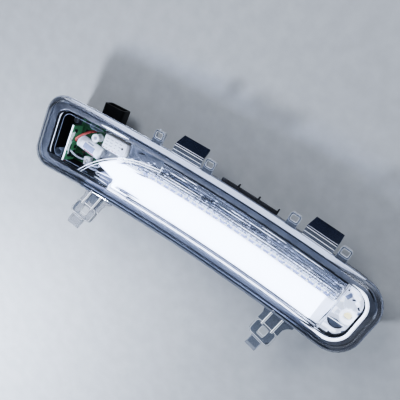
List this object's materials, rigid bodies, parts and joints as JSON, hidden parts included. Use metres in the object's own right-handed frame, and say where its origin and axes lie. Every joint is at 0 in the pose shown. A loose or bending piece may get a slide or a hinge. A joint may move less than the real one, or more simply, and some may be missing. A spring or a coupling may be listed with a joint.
{
  "type": "daytime running light",
  "caption": "Bumper-mounted running lamp: long rounded clear lens on a black tub, lit bar behind a fluted optic, open electronics bay, clear legs and latch loops.",
  "frame": {"origin": "middle of the back face that the lamp lies on, at half its length and half its width", "axes": "+Z out of the lens, +X along the lamp toward its rounder end, +Y across it toward the latch loops"},
  "size_m": [0.312, 0.111, 0.0584],
  "materials": {
    "black_plastic": "moulded black, satin",
    "seal_rubber": "soft, matt",
    "clear_plastic": "clear, polished",
    "bezel_plastic": "satin metallic blue grey",
    "optic_plastic": "clear, polished, fluted",
    "milky_plastic": "milky, lit from inside",
    "board_white": "white solder mask",
    "diode": "phosphor yellow, lit",
    "pad": "soft grey",
    "bare_aluminium": "extruded, satin",
    "bright_coating": "vacuum metallised, mirror bright",
    "white_plastic": "white, moulded",
    "board_green": "green solder mask",
    "chip": "black, moulded",
    "sleeve": "white shrink sleeve",
    "red_sleeve": "red insulation",
    "grey_sleeve": "pale grey insulation",
    "steel": "zinc plated",
    "brass": "tinned brass"
  },
  "bodies": {
    "root": {"rear_housing": "black_plastic", "lens_seal": "seal_rubber", "outer_lens": "clear_plastic", "inner_bezel": "bezel_plastic", "inner_lens": "optic_plastic", "diffuser": "milky_plastic", "led_board": "board_white", "bar_diodes": "diode", "thermal_pad": "pad", "heat_sink": "bare_aluminium", "side_reflector": "bright_coating", "bar_bracket": "white_plastic", "end_reflector": "bright_coating", "end_divider": "optic_plastic", "end_board": "board_white", "end_diode": "diode", "base_board": "board_green", "upright_board": "board_green", "board_parts": "chip", "tab_parts": "white_plastic", "capacitor": "sleeve", "choke": "white_plastic", "choke_leads": "grey_sleeve", "converter": "white_plastic", "wire_plug": "white_plastic", "ribbed_guide": "optic_plastic", "red_wire": "red_sleeve", "lead_wires": "grey_sleeve", "clear_bush": "optic_plastic", "screws": "steel", "terminal_pins": "brass", "vent_cap": "seal_rubber"}
  },
  "joints": []
}
